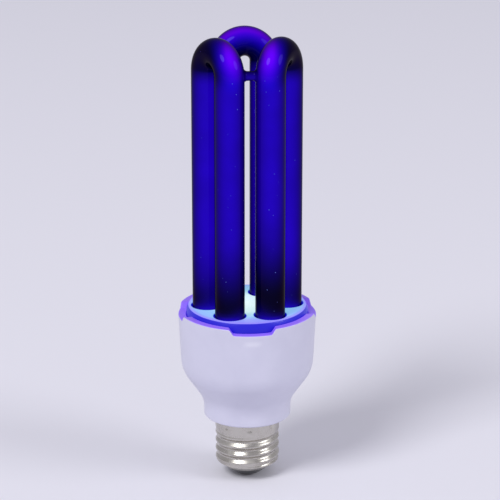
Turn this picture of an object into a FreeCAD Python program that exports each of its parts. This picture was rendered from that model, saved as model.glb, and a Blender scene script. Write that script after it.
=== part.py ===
import FreeCAD, Part
import math
import os

from FreeCAD import Vector

# A compact fluorescent black-light lamp: one discharge tube of dark glass with three U bends, held in a white
# plastic cover and cup, over a ballast board and a screw cap. Millimetres. The origin lies on the axis where
# the cap meets the cup, +Z runs up to the bends, and the gap between the two electrode legs faces -Y.

# Discharge tube
tube_diameter = 12.0
leg_circle_radius = 16.2
tube_height = 112.0
tube_insertion = 14.0
bridge_diameter = 5.0
bridge_height = 12.0

# Tube cover, cemented round the legs and snapped into the cup
cement_gap = 0.65
cement_height = 6.0
hole_margin = 1.25
plate_thickness = 1.8
plate_chamfer = 0.7
cover_draft = 0.6
cover_rise = 1.7
cover_depth = 11.0
cover_wall = 1.6
collar_wall = 1.2
lug_width = 6.5
lug_height = 2.2
lug_reach = 0.8
lug_ramp = 1.4
lug_drop = 4.6

# Housing cup, with a castellated rim
skirt_clearance = 0.2
rim_width = 3.2
rim_chamfer = 0.5
wall_height = 25.5
wall_draft = 1.25
shoulder_round = 14.0
flare_height = 13.0
neck_radius = 17.75
neck_height = 7.3
neck_round = 12.0
neck_chamfer = 0.5
cup_wall = 2.0
notch_count = 4
notch_width = 15.4
notch_flare = 1.55
notch_depth = 2.35
notch_round = 0.5
rib_count = 6
rib_thickness = 1.4
rib_foot = 2.5
rib_drop = 9.0
board_ledge = 1.5
spigot_length = 9.0
spigot_clearance = 0.15

# Screw cap: the sheet's outside is the crest of its thread
cap_diameter = 26.3
cap_sheet = 0.35
cap_length = 26.5
shell_straight = 19.8
shell_length = 22.2
shell_end_radius = 9.8
insulator_depth = 3.0
insulator_nose_radius = 5.6
contact_radius = 4.9
contact_height = 1.0
contact_chamfer = 0.6
contact_floor = 0.5
rivet_wall = 0.7
rivet_length = 4.5
wire_radius = 0.6
wire_bend = 1.5
shell_wire_offset = 6.0
shell_wire_drop = 1.0

# Ballast board and the posts that take the leads of the tube
board_thickness = 1.5
board_gap = 2.1
board_clearance = 0.3
post_radius = 0.5
post_height = 6.0
post_circle_radius = 7.0
post_spread = 40.0
lead_radius = 0.3
lead_pitch = 2.4

# Ballast components, hung from the board with this much room between neighbours
part_gap = 0.8
core_length = 16.0
core_depth = 5.0
core_height = 14.0
core_back = 2.0
core_leg = 2.0
core_post = 4.0
bobbin_wall = 0.6
bobbin_flange = 0.7
bobbin_depth = 12.0
winding_inset = 0.4
capacitor_radius = 5.0
capacitor_height = 16.0
crimp_depth = 0.5
crimp_width = 1.2
crimp_drop = 1.2
ring_radius = 4.4
ring_bore_radius = 2.3
ring_height = 4.0
ring_wire = 0.6
ring_winding_count = 3
ring_winding_angle = 50.0
transistor_width = 8.0
transistor_thickness = 3.0
transistor_height = 11.0
transistor_hole_radius = 1.6
transistor_hole_inset = 3.2
film_length = 9.0
film_thickness = 4.0
film_height = 8.5
film_round = 1.2
diode_radius = 1.35
diode_length = 5.2
fuse_radius = 1.7
fuse_length = 9.0
resistor_radius = 1.1
resistor_length = 6.0
drum_radius = 3.0
drum_waist_radius = 1.6
drum_height = 8.0
drum_flange = 1.2

# Clearance between pieces that are fitted or cemented together
fit_gap = 0.1

# Sizes that follow from those above
tube_radius = tube_diameter / 2
hole_radius = tube_radius + cement_gap
plate_radius = leg_circle_radius + hole_radius + hole_margin
skirt_radius = plate_radius + cover_draft
skirt_inner_radius = skirt_radius - cover_wall
mouth_radius = skirt_radius + skirt_clearance
rim_radius = mouth_radius + rim_width
shoulder_radius = rim_radius - wall_draft
shoulder_level = neck_height + flare_height
rim_level = shoulder_level + wall_height
cover_top = rim_level + cover_rise
cover_bottom = cover_top - cover_depth
tube_top = cover_top + tube_height
tube_bottom = cover_top - tube_insertion
board_top = tube_bottom - board_gap
board_bottom = board_top - board_thickness
board_radius = skirt_inner_radius - board_clearance
cap_radius = cap_diameter / 2
shell_bore = cap_radius - cap_sheet
spigot_radius = shell_bore - spigot_clearance
spigot_bore = spigot_radius - cup_wall
lug_top = rim_level - lug_drop
ring_outer_radius = ring_radius + ring_wire

# Legs in the order that the discharge passes through them: bends join the 1st to the 2nd, the 3rd to the 4th
# and the 5th to the 6th, bridges join the 2nd to the 3rd and the 4th to the 5th
leg_angles = [240 - 60 * step for step in range(6)]
electrode_angles = [leg_angles[0], leg_angles[-1]]
bent_pairs = list(zip(leg_angles[0::2], leg_angles[1::2]))
bridged_pairs = list(zip(leg_angles[1:-1:2], leg_angles[2::2]))

# Contact wire and shell wire run down a clear channel between the choke on its -X side and the rest on +X
channel = wire_radius + part_gap
choke_x = -(channel + bobbin_depth / 2)
right_column_x = channel + 2 * max(capacitor_radius, ring_outer_radius) + part_gap

# Shorter stretches than this are no edge
shortest_edge = 1e-6


def polar(radius, angle, level):
    """Point at a radius and an angle in degrees about the lamp's axis."""
    turn = math.radians(angle)
    return Vector(radius * math.cos(turn), radius * math.sin(turn), level)


def rounded_run(points, rounds, closed):
    """Edges along the points: straight runs, with a tangent arc at each point whose round isn't zero."""
    count = len(points)
    corners = []
    for index, point in enumerate(points):
        at_end = not closed and index in (0, count - 1)
        if at_end or rounds[index] == 0:
            corners.append([point])
            continue
        back = (points[index - 1] - point).normalize()
        ahead = (points[(index + 1) % count] - point).normalize()
        reach = rounds[index] * math.tan((math.pi - back.getAngle(ahead)) / 2)
        crown = math.hypot(rounds[index], reach) - rounds[index]
        middle = point + (back + ahead).normalize() * crown
        corners.append([point + back * reach, middle, point + ahead * reach])
    edges = []
    for index, corner in enumerate(corners):
        if len(corner) == 3:
            edges.append(Part.Arc(*corner).toShape())
        if index == count - 1 and not closed:
            break
        start = corner[-1]
        end = corners[(index + 1) % count][0]
        if (end - start).Length > shortest_edge:
            edges.append(Part.LineSegment(start, end).toShape())
    return edges


def outline(corners):
    """Face in the XZ plane inside (x, z, round) corners."""
    points = [Vector(x, 0, z) for x, z, _ in corners]
    rounds = [round_radius for _, _, round_radius in corners]
    return Part.Face(Part.Wire(rounded_run(points, rounds, True)))


def revolved(corners):
    """Solid of revolution about Z of an outline of (radius, z, round) corners."""
    return outline(corners).revolve(Vector(0, 0, 0), Vector(0, 0, 1), 360)


def plate_from(corners, thickness):
    """Slab with an outline in the XZ plane, centred on Y = 0."""
    slab = outline(corners).extrude(Vector(0, thickness, 0))
    slab.translate(Vector(0, -thickness / 2, 0))
    return slab


def rod(points, radius, bend):
    """Round rod along straight runs that meet in bends of one radius."""
    path = Part.Wire(rounded_run(points, [bend] * len(points), False))
    section = Part.Wire(Part.Circle(points[0], points[1] - points[0], radius).toShape())
    return path.makePipeShell([section], True, False)


def box(x_size, y_size, height, x=0.0, y=0.0, top=0.0):
    """Block centred on (x, y) whose top face is at the level given."""
    return Part.makeBox(x_size, y_size, height, Vector(x - x_size / 2, y - y_size / 2, top - height))


def turned(shape, angle):
    """Copy of a shape, turned about the lamp's axis."""
    copy = shape.copy()
    copy.rotate(Vector(0, 0, 0), Vector(0, 0, 1), angle)
    return copy


def ringed(shape, count, start=0.0):
    """Copies of a shape at even steps round the lamp's axis."""
    return [turned(shape, start + step * 360 / count) for step in range(count)]


def hung(shape, x, y):
    """Component made with its top at Z = 0, moved under the board."""
    shape.translate(Vector(x, y, board_bottom))
    return shape


def inset(before, corner, after, distance):
    """Corner of the line that runs parallel to before, corner, after at a distance on its axis side."""
    first = Vector(before[1] - corner[1], 0, corner[0] - before[0]).normalize()
    second = Vector(corner[1] - after[1], 0, after[0] - corner[0]).normalize()
    shift = (first + second) * (distance / (1 + first.dot(second)))
    return corner[0] - shift.x, corner[1] - shift.z


def discharge_tube():
    """Sealed glass: three U bends on six legs, with a fused bridge between neighbouring bends."""
    bend_level = tube_top - tube_radius
    bridge_level = cover_top + bridge_height
    runs = []
    for first, second in bent_pairs:
        run = [(first, tube_bottom), (first, bend_level), (second, bend_level), (second, tube_bottom)]
        points = [polar(leg_circle_radius, angle, level) for angle, level in run]
        runs.append(rod(points, tube_radius, (points[1] - points[2]).Length / 2))
    for pair in bridged_pairs:
        points = [polar(leg_circle_radius, angle, bridge_level) for angle in pair]
        runs.append(rod(points, bridge_diameter / 2, 0))
    return runs[0].multiFuse(runs[1:])


def leg_rings(inner_radius, outer_radius, bottom, height):
    """Ring round each leg; an inner radius of zero gives discs."""
    rings = []
    for angle in leg_angles:
        foot = polar(leg_circle_radius, angle, bottom)
        ring = Part.makeCylinder(outer_radius, height, foot)
        if inner_radius > 0:
            ring = ring.cut(Part.makeCylinder(inner_radius, height, foot))
        rings.append(ring)
    return rings


def tube_cover():
    """Plate with a hole and a collar for each leg, a skirt that drops into the cup, and snap lugs."""
    underside = cover_top - plate_thickness
    shell = revolved([
        (0, cover_top, 0),
        (plate_radius - plate_chamfer, cover_top, 0),
        (plate_radius, cover_top - plate_chamfer, 0),
        (skirt_radius, rim_level, 0),
        (skirt_radius, cover_bottom, 0),
        (skirt_inner_radius, cover_bottom, 0),
        (skirt_inner_radius, underside, 0),
        (0, underside, 0),
    ])
    within_skirt = Part.makeCylinder(skirt_radius, cover_depth, Vector(0, 0, cover_bottom))
    collars = leg_rings(0, hole_radius + collar_wall, cover_bottom, underside - cover_bottom)
    collars = [collar.common(within_skirt) for collar in collars]
    lug = plate_from([
        (skirt_inner_radius, lug_top, 0),
        (skirt_radius + lug_reach, lug_top, 0),
        (skirt_radius + lug_reach, lug_top - lug_height + lug_ramp, 0),
        (skirt_radius, lug_top - lug_height, 0),
        (skirt_inner_radius, lug_top - lug_height, 0),
    ], lug_width)
    cover = shell.multiFuse(collars + ringed(lug, notch_count)).removeSplitter()
    for hole in leg_rings(0, hole_radius, cover_bottom, cover_depth):
        cover = cover.cut(hole)
    return cover


def tube_cement():
    """Ring of cement that fixes each leg at the foot of its collar."""
    return leg_rings(tube_radius + fit_gap, hole_radius - fit_gap, cover_bottom, cement_height)


def housing_cup():
    """Moulded cup: castellated rim, bowl, neck and the spigot that the cap is crimped to."""
    shoulder = (shoulder_radius, shoulder_level)
    neck = (neck_radius, neck_height)
    foot = (neck_radius, 0)
    outside = [
        (rim_radius - rim_chamfer, rim_level, 0),
        (rim_radius, rim_level - rim_chamfer, 0),
        (*shoulder, shoulder_round),
        (*neck, neck_round),
        (neck_radius, neck_chamfer, 0),
        (neck_radius - neck_chamfer, 0, 0),
    ]
    spigot = [
        (spigot_radius, 0, 0),
        (spigot_radius, -spigot_length, 0),
        (spigot_bore, -spigot_length, 0),
        (spigot_bore, cup_wall, 0),
    ]
    inner_neck = inset(shoulder, neck, foot, cup_wall)
    bowl_level = inner_neck[1] + (mouth_radius - inner_neck[0]) * flare_height / (shoulder_radius - neck_radius)
    inside = [
        (neck_radius - cup_wall, cup_wall, 0),
        (*inner_neck, 0),
        (mouth_radius, bowl_level, 0),
        (mouth_radius, rim_level, 0),
    ]
    shell = revolved(outside + spigot + inside)
    filled = revolved(outside + [(0, 0, 0), (0, rim_level, 0)])
    rib = plate_from([
        (rim_radius, cover_bottom, 0),
        (skirt_inner_radius, cover_bottom, 0),
        (skirt_inner_radius, board_bottom, 0),
        (board_radius - board_ledge, board_bottom, 0),
        (board_radius - board_ledge, board_bottom - rib_foot, 0),
        (rim_radius, board_bottom - rib_drop, 0),
    ], rib_thickness).common(filled)
    cup = shell.multiFuse(ringed(rib, rib_count, 180 / rib_count))
    notch = outline([
        (-notch_width / 2, rim_level - notch_depth, notch_round),
        (notch_width / 2, rim_level - notch_depth, notch_round),
        (notch_width / 2 + notch_flare, rim_level, 0),
        (-notch_width / 2 - notch_flare, rim_level, 0),
    ]).extrude(Vector(0, -rim_radius, 0))
    pocket_depth = skirt_radius + lug_reach + fit_gap
    pocket = box(pocket_depth, lug_width + 2 * fit_gap, lug_height + 2 * fit_gap,
                 x=pocket_depth / 2, top=lug_top + fit_gap)
    for cutter in ringed(notch, notch_count) + ringed(pocket, notch_count):
        cup = cup.cut(cutter)
    return cup


def cap_shell():
    """Drawn sheet cap, turned in at its lower end to hold the insulator."""
    top = (cap_radius, 0)
    bend = (cap_radius, -shell_straight)
    lip = (shell_end_radius, -shell_length)
    beyond = (2 * lip[0] - bend[0], 2 * lip[1] - bend[1])
    return revolved([
        (*top, 0),
        (*bend, 0),
        (*lip, 0),
        (*inset(bend, lip, beyond, cap_sheet), 0),
        (*inset(top, bend, lip, cap_sheet), 0),
        (shell_bore, 0, 0),
    ])


def cap_insulator():
    """Black glass button that fills the lower end of the cap, with a bore for the contact's rivet."""
    bore = wire_radius + fit_gap + rivet_wall + fit_gap
    top = (shell_bore, -shell_straight + insulator_depth)
    bend = (cap_radius, -shell_straight)
    lip = (shell_end_radius, -shell_length)
    beyond = (2 * lip[0] - bend[0], 2 * lip[1] - bend[1])
    seat = cap_sheet + fit_gap
    return revolved([
        (bore, top[1], 0),
        (top[0] - fit_gap, top[1], 0),
        (*inset((cap_radius, 0), bend, lip, seat), 0),
        (*inset(bend, lip, beyond, seat), 0),
        (insulator_nose_radius, -cap_length + contact_height, 0),
        (bore, -cap_length + contact_height, 0),
    ])


def centre_contact():
    """Contact button with a hollow rivet that takes the end of the contact wire."""
    bore = wire_radius + fit_gap
    seat = -cap_length + contact_height
    return revolved([
        (0, -cap_length, 0),
        (contact_radius - contact_chamfer, -cap_length, 0),
        (contact_radius, -cap_length + contact_chamfer, 0),
        (contact_radius, seat, 0),
        (bore + rivet_wall, seat, 0),
        (bore + rivet_wall, seat + rivet_length, 0),
        (bore, seat + rivet_length, 0),
        (bore, -cap_length + contact_floor, 0),
        (0, -cap_length + contact_floor, 0),
    ])


def contact_wire():
    """Straight down the channel into the rivet of the contact."""
    end = Vector(0, 0, -cap_length + contact_floor + fit_gap)
    return rod([Vector(0, 0, board_bottom), end], wire_radius, 0)


def shell_wire():
    """Down the channel, under the end of the spigot and out to the wall of the cap."""
    turn_level = -spigot_length - shell_wire_drop - wire_radius
    return rod([
        Vector(0, -shell_wire_offset, board_bottom),
        Vector(0, -shell_wire_offset, turn_level),
        Vector(0, -shell_bore + fit_gap, turn_level),
    ], wire_radius, wire_bend)


def post_angles(electrode):
    """Angles of the two posts beside an electrode leg."""
    return [electrode - post_spread / 2, electrode + post_spread / 2]


def ballast_board():
    """Round board on the ledges of the ribs, drilled for the posts."""
    board = Part.makeCylinder(board_radius, board_thickness, Vector(0, 0, board_bottom))
    for electrode in electrode_angles:
        for angle in post_angles(electrode):
            foot = polar(post_circle_radius, angle, board_bottom)
            board = board.cut(Part.makeCylinder(post_radius + fit_gap, board_thickness, foot))
    return board


def lead_posts():
    """Posts pressed into the board, which the tube's leads are wrapped on."""
    posts = []
    for electrode in electrode_angles:
        for angle in post_angles(electrode):
            post = Part.makeCylinder(post_radius, board_thickness + post_height)
            post.translate(polar(post_circle_radius, angle, board_bottom))
            posts.append(post)
    return posts


def tube_leads():
    """Wires from the sealed foot of each electrode leg, over the board to the posts."""
    leads = []
    for electrode in electrode_angles:
        foot = polar(leg_circle_radius, electrode, tube_bottom)
        sideways = polar(lead_pitch / 2, electrode + 90, 0)
        for side, angle in zip((-1, 1), post_angles(electrode)):
            start = foot + sideways * side - Vector(0, 0, lead_radius + fit_gap)
            post = polar(post_circle_radius, angle, start.z)
            towards = (post - start).normalize()
            leads.append(rod([start, post - towards * (post_radius + fit_gap)], lead_radius, 0))
    return leads


def choke_core():
    """Two E-shaped ferrite halves that meet about the middle of the bobbin."""
    half = core_height / 2
    window = (core_length - core_post) / 2 - core_leg
    back = box(core_depth, core_length, core_back)
    legs = [box(core_depth, core_post, half)]
    for side in (-1, 1):
        legs.append(box(core_depth, core_leg, half, y=side * (core_post / 2 + window + core_leg / 2)))
    upper = back.multiFuse(legs).removeSplitter()
    lower = upper.copy()
    lower.rotate(Vector(0, 0, -half), Vector(1, 0, 0), 180)
    return [hung(part, choke_x, 0) for part in (upper, lower)]


def bobbin_sizes():
    """Depth, length and height of the bobbin's tube, and the length of its flanges."""
    depth = core_depth + 2 * (fit_gap + bobbin_wall)
    length = core_post + 2 * (fit_gap + bobbin_wall)
    height = core_height - 2 * (core_back + fit_gap)
    return depth, length, height, core_length - 2 * (core_leg + fit_gap)


def choke_bobbin():
    """Square spool on the middle post of the core."""
    depth, length, height, flange_length = bobbin_sizes()
    top = -core_back - fit_gap
    spool = box(depth, length, height, top=top).multiFuse([
        box(bobbin_depth, flange_length, bobbin_flange, top=top),
        box(bobbin_depth, flange_length, bobbin_flange, top=top - height + bobbin_flange),
    ]).removeSplitter()
    bore = box(core_depth + 2 * fit_gap, core_post + 2 * fit_gap, height, top=top)
    return hung(spool.cut(bore), choke_x, 0)


def choke_winding():
    """Block of turns between the bobbin's flanges."""
    depth, length, height, flange_length = bobbin_sizes()
    top = -core_back - 2 * fit_gap - bobbin_flange
    turns_height = height - 2 * (bobbin_flange + fit_gap)
    turns = box(bobbin_depth - 2 * winding_inset, flange_length - 2 * winding_inset, turns_height, top=top)
    spool = box(depth + 2 * fit_gap, length + 2 * fit_gap, turns_height, top=top)
    return hung(turns.cut(spool), choke_x, 0)


def electrolytic_capacitor():
    """Can with the crimp that closes it round its bung, on the board side."""
    can = revolved([
        (0, 0, 0),
        (capacitor_radius, 0, 0),
        (capacitor_radius, -crimp_drop, 0),
        (capacitor_radius - crimp_depth, -crimp_drop - crimp_width / 2, 0),
        (capacitor_radius, -crimp_drop - crimp_width, 0),
        (capacitor_radius, -capacitor_height, 0),
        (0, -capacitor_height, 0),
    ])
    return hung(can, channel + capacitor_radius, part_gap / 2 + capacitor_radius)


def ring_transformer():
    """Ferrite ring and the short windings through it, which rest on the board."""
    top = -ring_wire - fit_gap
    core = revolved([
        (ring_bore_radius, top, 0),
        (ring_radius, top, 0),
        (ring_radius, top - ring_height, 0),
        (ring_bore_radius, top - ring_height, 0),
    ])
    sleeve = outline([
        (ring_bore_radius - ring_wire, 0, 0),
        (ring_outer_radius, 0, 0),
        (ring_outer_radius, top - ring_height - fit_gap - ring_wire, 0),
        (ring_bore_radius - ring_wire, top - ring_height - fit_gap - ring_wire, 0),
    ]).revolve(Vector(0, 0, 0), Vector(0, 0, 1), ring_winding_angle)
    room = revolved([
        (ring_bore_radius - fit_gap, top + fit_gap, 0),
        (ring_radius + fit_gap, top + fit_gap, 0),
        (ring_radius + fit_gap, top - ring_height - fit_gap, 0),
        (ring_bore_radius - fit_gap, top - ring_height - fit_gap, 0),
    ])
    windings = ringed(sleeve.cut(room), ring_winding_count)
    place = (channel + ring_outer_radius, -part_gap / 2 - ring_outer_radius)
    return hung(core, *place), [hung(winding, *place) for winding in windings]


def transistors():
    """Flat packages with a fixing hole, on edge beside the tall parts."""
    parts = []
    for side in (-1, 1):
        body = box(transistor_thickness, transistor_width, transistor_height)
        hole_level = -transistor_height + transistor_hole_inset
        bore = Part.makeCylinder(transistor_hole_radius, 2 * transistor_thickness,
                                 Vector(-transistor_thickness, 0, hole_level), Vector(1, 0, 0))
        y = side * (part_gap / 2 + transistor_width / 2)
        parts.append(hung(body.cut(bore), right_column_x + transistor_thickness / 2, y))
    return parts


def film_y():
    """Distance from the X axis of the film capacitors, which stand past both ends of the choke."""
    return core_length / 2 + part_gap + film_thickness / 2


def film_capacitors():
    """Dipped capacitors with rounded edges."""
    parts = []
    for side in (-1, 1):
        body = box(film_length, film_thickness, film_height)
        upright = [edge for edge in body.Edges if edge.BoundBox.ZLength > film_height / 2]
        parts.append(hung(body.makeFillet(film_round, upright), choke_x, side * film_y()))
    return parts


def axial(radius, length):
    """Round body of an axial part, along X under the board."""
    return Part.makeCylinder(radius, length, Vector(-length / 2, 0, -radius - fit_gap), Vector(1, 0, 0))


def rectifier_diodes():
    """Bridge of four, in two rows past the electrolytic capacitor."""
    parts = []
    first_y = part_gap / 2 + 2 * capacitor_radius + part_gap + diode_radius
    for row in range(2):
        for column in range(2):
            x = channel + diode_length / 2 + column * (diode_length + part_gap)
            y = first_y + row * (2 * diode_radius + part_gap)
            parts.append(hung(axial(diode_radius, diode_length), x, y))
    return parts


def fuse_y():
    """Distance from the X axis of the fuse resistor, past the ring transformer."""
    return part_gap / 2 + 2 * ring_outer_radius + part_gap + fuse_radius


def fuse_resistor():
    """Fusible resistor in the feed from the centre contact."""
    return hung(axial(fuse_radius, fuse_length), channel + fuse_length / 2, -fuse_y())


def resistors():
    """Start and bias resistors: one past the fuse, one past each film capacitor."""
    past_film = film_y() + film_thickness / 2 + part_gap + resistor_radius
    past_fuse = fuse_y() + fuse_radius + part_gap + resistor_radius
    x = channel + resistor_length / 2
    places = [(x, -past_fuse), (-x, -past_film), (-x, past_film)]
    return [hung(axial(resistor_radius, resistor_length), *place) for place in places]


def filter_choke():
    """Drum core, and the winding between its flanges, outside the main choke."""
    core = revolved([
        (0, 0, 0),
        (drum_radius, 0, 0),
        (drum_radius, -drum_flange, 0),
        (drum_waist_radius, -drum_flange, 0),
        (drum_waist_radius, -drum_height + drum_flange, 0),
        (drum_radius, -drum_height + drum_flange, 0),
        (drum_radius, -drum_height, 0),
        (0, -drum_height, 0),
    ])
    winding = revolved([
        (drum_waist_radius + fit_gap, -drum_flange - fit_gap, 0),
        (drum_radius - winding_inset, -drum_flange - fit_gap, 0),
        (drum_radius - winding_inset, -drum_height + drum_flange + fit_gap, 0),
        (drum_waist_radius + fit_gap, -drum_height + drum_flange + fit_gap, 0),
    ])
    x = choke_x - bobbin_depth / 2 - part_gap - drum_radius
    return hung(core, x, 0), hung(winding, x, 0)


ring_core, ring_windings = ring_transformer()
filter_choke_core, filter_choke_winding = filter_choke()
nodes = {
    "discharge_tube": discharge_tube(),
    "tube_cover": tube_cover(),
    "tube_cement": tube_cement(),
    "housing_cup": housing_cup(),
    "cap_shell": cap_shell(),
    "cap_insulator": cap_insulator(),
    "centre_contact": centre_contact(),
    "contact_wire": contact_wire(),
    "shell_wire": shell_wire(),
    "ballast_board": ballast_board(),
    "lead_posts": lead_posts(),
    "tube_leads": tube_leads(),
    "choke_core": choke_core(),
    "choke_bobbin": choke_bobbin(),
    "choke_winding": choke_winding(),
    "electrolytic_capacitor": electrolytic_capacitor(),
    "ring_core": ring_core,
    "ring_windings": ring_windings,
    "transistors": transistors(),
    "film_capacitors": film_capacitors(),
    "rectifier_diodes": rectifier_diodes(),
    "fuse_resistor": fuse_resistor(),
    "resistors": resistors(),
    "filter_choke_core": filter_choke_core,
    "filter_choke_winding": filter_choke_winding,
}

os.makedirs("parts", exist_ok=True)
for name, shape in nodes.items():
    if isinstance(shape, list):
        shape = Part.makeCompound(shape)
    shape.exportStep("parts/" + name + ".step")
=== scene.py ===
import math

import bmesh
import bpy
import numpy as np
from mathutils import Matrix, Vector


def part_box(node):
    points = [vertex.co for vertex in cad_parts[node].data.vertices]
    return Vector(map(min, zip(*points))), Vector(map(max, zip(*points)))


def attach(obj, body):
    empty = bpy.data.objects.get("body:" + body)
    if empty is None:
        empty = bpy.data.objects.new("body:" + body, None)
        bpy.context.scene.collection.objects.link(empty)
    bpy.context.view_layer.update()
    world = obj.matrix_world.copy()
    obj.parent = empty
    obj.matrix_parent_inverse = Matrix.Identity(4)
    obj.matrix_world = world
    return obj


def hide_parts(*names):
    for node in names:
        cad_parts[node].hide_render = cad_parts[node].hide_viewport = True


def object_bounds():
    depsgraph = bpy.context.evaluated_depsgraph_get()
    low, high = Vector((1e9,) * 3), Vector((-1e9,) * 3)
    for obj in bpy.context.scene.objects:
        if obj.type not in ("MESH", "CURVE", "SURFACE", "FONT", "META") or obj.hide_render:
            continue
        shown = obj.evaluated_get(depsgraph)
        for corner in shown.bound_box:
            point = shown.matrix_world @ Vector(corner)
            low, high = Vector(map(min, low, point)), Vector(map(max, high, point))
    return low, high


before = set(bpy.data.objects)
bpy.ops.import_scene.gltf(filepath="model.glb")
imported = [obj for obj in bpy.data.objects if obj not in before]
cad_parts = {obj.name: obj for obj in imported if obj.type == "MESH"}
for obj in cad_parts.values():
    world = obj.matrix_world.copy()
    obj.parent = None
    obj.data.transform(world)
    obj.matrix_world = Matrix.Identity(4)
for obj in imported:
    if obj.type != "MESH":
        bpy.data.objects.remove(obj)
cad_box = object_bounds()


# Discharge tube: one sealed tube of dark violet glass, lined with phosphor, drawn and then bent hot into
# three U shapes. Two hollow bridges near the plate join them, and a solid bead of glass ties the two end
# legs. The lining glows along the legs and the stretched side of the bends, but not by the electrodes.
mm = 0.001


def level_of(node, end):
    """Height in millimetres of a node's lowest (0) or highest (1) corner in the frame."""
    return round(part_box(node)[end].z / mm, 3)


tube_radius = 6.0
leg_circle = 16.2
foot_level = level_of("discharge_tube", 0)
foot_dome = 3.0
bend_level = 145.4
bend_radius = leg_circle / 2
plate_level = level_of("tube_cover", 1)
bridge_radius = 2.5
bridge_level = plate_level + 12.0
bead_radius = 1.9
bead_level = bend_level + 0.6
# A join starts inside the glass, at this share of the way from leg to leg, and flares where it meets them.
join_start = 0.2
join_flare = 1.3
flare_length = 0.9
flare_foot = 0.85 * tube_radius
# By each leg's angle about the axis, the heights above the plate at which its glow sets in and is full.
glow_onset = {0: (-2, 27), 60: (-2, 27), 120: (-2, 27), 180: (-2, 27), 240: (3, 38), 300: (9, 46)}
# Each U: the angles of its legs, the lean of its bright side at the start and the end of the bend, and
# the degrees of the bend over which the one lean goes over to the other.
bent_pairs = (
    (240, 180, -9, 46, (30, 100)),
    (120, 60, 15, 15, (30, 100)),
    (0, 300, 46, -7, (80, 150)),
)
# Each join: the angles of its legs, its height, its radius, and its glow at the top and at the bottom;
# on the solid bead this is painted light from the plate, brighter underneath.
joined_pairs = (
    (180, 120, bridge_level, bridge_radius, 0.5, 0.5),
    (60, 0, bridge_level, bridge_radius, 0.5, 0.5),
    # The solid bead has no lining: its glow is painted light from the plate below.
    (240, 300, bead_level, bead_radius, 0.2, 0.9),
)
# Shares of the full glow: at the dark ends, all round a bend, on its bright side, and added on its crown.
dark_end_glow = 0.015
dim_bend_glow = 0.045
bright_bend_glow = 0.8
crown_glow = 0.5
# Heights from the start of the bends, over which the glow of the legs goes out and that of the bends and
# of their crowns comes on.
leg_glow_ends = (-5.5, 2.5)
bend_glow_starts = (-6.0, 4.0)
crown_starts = (1.0, bend_radius)
# How far the bright side reaches round the tube, and how steeply it and the crown fall off.
bright_side_wrap = 0.35
bright_side_power = 2.2
crown_power = 5
# Heights over which the painted light of the plate on the feet of the legs fades, on their outer and
# their inner side.
outer_foot_fade = 1.0
inner_foot_fade = 4.2


def on_leg_circle(degrees):
    """Point of the leg circle at an angle about the lamp's axis, at height zero."""
    turn = math.radians(degrees)
    return leg_circle * np.array([math.cos(turn), math.sin(turn), 0.0])


def eased(value, low, high):
    """Smooth step: 0 up to the low value, 1 from the high one, and 3t^2 - 2t^3 between them."""
    t = np.clip((value - low) / (high - low), 0, 1)
    return t * t * (3 - 2 * t)


def swept(line, tangent, outward, radii, angles):
    """Sheet of rings along a line: each point is the line's point plus the radius there times the outward
    vector turned by the ring's angle about the tangent."""
    sideways = np.cross(tangent, outward)
    turned_out = outward[:, None] * np.cos(angles)[None, :, None]
    turned_sideways = sideways[:, None] * np.sin(angles)[None, :, None]
    return line[:, None] + radii[:, None, None] * (turned_out + turned_sideways)


def piece_of(name, sheets, material, slot, nodes, sharp=35.0, **masks):
    """One object from sheets of points in millimetres, each an (n, m, 3) array with a quad between
    neighbours. Points that meet, at seams, poles and between sheets, are merged. A mask holds one number
    per point."""
    weld_distance = 0.002
    faces = []
    start = 0
    for sheet in sheets:
        rows, columns = sheet.shape[:2]
        index = start + np.arange(rows * columns).reshape(rows, columns)
        corners = (index[:-1, :-1], index[:-1, 1:], index[1:, 1:], index[1:, :-1])
        faces.append(np.stack(corners, axis=-1).reshape(-1, 4))
        start += rows * columns
    points = np.concatenate([sheet.reshape(-1, 3) for sheet in sheets]) * mm
    mesh = bpy.data.meshes.new(name)
    mesh.from_pydata(points.tolist(), [], np.concatenate(faces).tolist())
    for mask, values in masks.items():
        values = np.concatenate([value.ravel() for value in values]).astype(np.float32)
        mesh.attributes.new(mask, "FLOAT", "POINT").data.foreach_set("value", values)
    welded = bmesh.new()
    welded.from_mesh(mesh)
    bmesh.ops.remove_doubles(welded, verts=welded.verts, dist=weld_distance * mm)
    welded.to_mesh(mesh)
    welded.free()
    mesh.shade_smooth()
    mesh.set_sharp_from_angle(angle=math.radians(sharp))
    mesh.materials.append(material)
    piece = bpy.data.objects.new(name, mesh)
    bpy.context.scene.collection.objects.link(piece)
    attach(piece, "root")
    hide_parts(*nodes)


def srgb(code):
    """Linear colour of an sRGB hex code: a straight toe for the darkest values, a power of 2.4 above."""
    part = np.array([int(code[i:i + 2], 16) for i in (1, 3, 5)]) / 255
    linear = np.where(part <= 0.04045, part / 12.92, ((part + 0.055) / 1.055) ** 2.4)
    return (*linear.tolist(), 1.0)


def add(tree, kind, inputs=None, **settings):
    """Adds a node with its settings, and fills each named or numbered input with a value or a link. Map
    Range's inputs 1 to 4 are the range that it reads and the range that it gives, and Mix's 6 and 7 are
    its two colours."""
    node = tree.nodes.new(kind)
    for name, value in settings.items():
        setattr(node, name, value)
    for name, value in (inputs or {}).items():
        if isinstance(value, bpy.types.NodeSocket):
            tree.links.new(value, node.inputs[name])
        else:
            node.inputs[name].default_value = value
    return node


def new_material(name, inputs):
    """Material with one Principled shader, whose plain values are set, with its tree and its shader."""
    material = bpy.data.materials.new(name)
    material.use_nodes = True
    shader = material.node_tree.nodes["Principled BSDF"]
    for key, value in inputs.items():
        shader.inputs[key].default_value = value
    return material, material.node_tree, shader
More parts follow.
